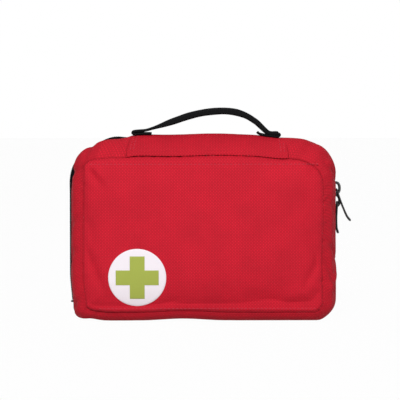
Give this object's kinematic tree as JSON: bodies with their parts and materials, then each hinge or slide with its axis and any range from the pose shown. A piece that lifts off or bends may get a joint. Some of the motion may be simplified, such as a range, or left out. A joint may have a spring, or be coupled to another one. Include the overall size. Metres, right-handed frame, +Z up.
{
  "type": "first aid kit",
  "caption": "Zipped clamshell fabric first aid pouch with a webbing handle and zip pulls; the front half swings open on inner pockets with dressings, scissors and tweezers.",
  "frame": {"origin": "on the underside, on the flat bottom of the back half, midway along the width and 4 mm behind the hinge line where the halves meet", "axes": "+X towards the side with the zip sliders, the pouch's width; +Y from the front panel to the flat back; +Z up, from the bottom to the handle"},
  "size_m": [0.2281, 0.0777, 0.172],
  "materials": {
    "shell_fabric": "padded plain-weave polyester, matt",
    "panel_fabric": "padded plain-weave polyester, matt",
    "lining_fabric": "taffeta lining, slight sheen",
    "black_webbing": "woven polyester webbing",
    "black_tape": "woven tape",
    "pocket_mesh": "open knitted mesh",
    "zip_coil": "nylon coil",
    "zip_metal": "black enamelled die-cast zinc",
    "pull_tab": "moulded soft-touch tab",
    "badge_white": "smooth woven patch",
    "badge_green": "smooth woven patch",
    "tool_steel": "satin stainless steel",
    "wrap_paper": "sterile wrapping paper",
    "foil_film": "metallised film",
    "white_cotton": "cotton and nonwoven",
    "card": "folding box board"
  },
  "bodies": {
    "back_half": {"back_gusset": "shell_fabric", "back_panel": "shell_fabric", "back_lining": "lining_fabric", "back_seam_tape": "black_tape", "back_zip_tape": "black_tape", "back_zip_coil": "zip_coil", "zip_stop_left": "zip_metal", "zip_stop_right": "zip_metal", "hinge_tape": "black_tape", "back_pocket_mesh": "pocket_mesh", "back_pocket_binding": "black_tape", "bandage_roll_wide": "wrap_paper", "bandage_roll_narrow": "wrap_paper", "foil_blanket": "foil_film", "triangular_bandage": "white_cotton", "tape_roll": "white_cotton", "tape_core": "card", "gauze_pack": "wrap_paper", "burn_dressing": "foil_film", "wound_dressing": "wrap_paper"},
    "front_half": {"front_panel": "panel_fabric", "front_lining": "lining_fabric", "front_gusset": "shell_fabric", "front_seam_tape": "black_tape", "front_zip_tape": "black_tape", "front_zip_coil": "zip_coil", "handle_patch": "shell_fabric", "handle_end_left": "black_webbing", "handle_end_right": "black_webbing", "badge_disc": "badge_white", "badge_cross": "badge_green", "front_pocket_mesh": "pocket_mesh", "front_pocket_binding": "black_tape", "elastic_band": "black_tape", "plaster_pack": "card", "gloves_pack": "white_cotton", "wipe_sachet_1": "foil_film", "wipe_sachet_2": "foil_film", "wipe_sachet_3": "foil_film", "scissor_blade_fixed": "tool_steel", "scissor_screw": "tool_steel", "tweezers": "tool_steel"},
    "handle": {"handle_strap": "black_webbing"},
    "upper_slider": {"upper_slider": "zip_metal"},
    "lower_slider": {"lower_slider": "zip_metal"},
    "upper_pull": {"upper_pull": "pull_tab"},
    "lower_pull": {"lower_pull": "pull_tab"},
    "scissor_moving": {"scissor_blade_moving": "tool_steel"}
  },
  "joints": [
    {"name": "front_opening", "type": "hinge", "parent": "back_half", "child": "front_half", "pos_m": [0, -0.00415, -0.00015], "axis": [1, 0, 0], "range_deg": [0, 180], "deforming": ["hinge_tape"]},
    {"name": "handle_flop", "type": "hinge", "parent": "front_half", "child": "handle", "pos_m": [0, -0.02275, 0.1518], "axis": [1, 0, 0], "range_deg": [-35, 35], "stiffness_Nm_per_rad": 0.005},
    {"name": "upper_slide", "type": "slide", "parent": "back_half", "child": "upper_slider", "axis": [0, 0, 1], "range_m": [0, 0.006]},
    {"name": "lower_slide", "type": "slide", "parent": "back_half", "child": "lower_slider", "axis": [0, 0, -1], "range_m": [0, 0.07]},
    {"name": "upper_pull_swing", "type": "hinge", "parent": "upper_slider", "child": "upper_pull", "pos_m": [0.10976, -0.00415, 0.1052], "axis": [0, -1, 0], "range_deg": [0, 130]},
    {"name": "lower_pull_swing", "type": "hinge", "parent": "lower_slider", "child": "lower_pull", "pos_m": [0.10976, -0.00415, 0.0949], "axis": [0, -1, 0], "range_deg": [0, 27]},
    {"name": "scissor_opening", "type": "hinge", "parent": "front_half", "child": "scissor_moving", "pos_m": [-0.004, -0.038, 0.09], "axis": [0, -1, 0], "range_deg": [0, 30]}
  ]
}
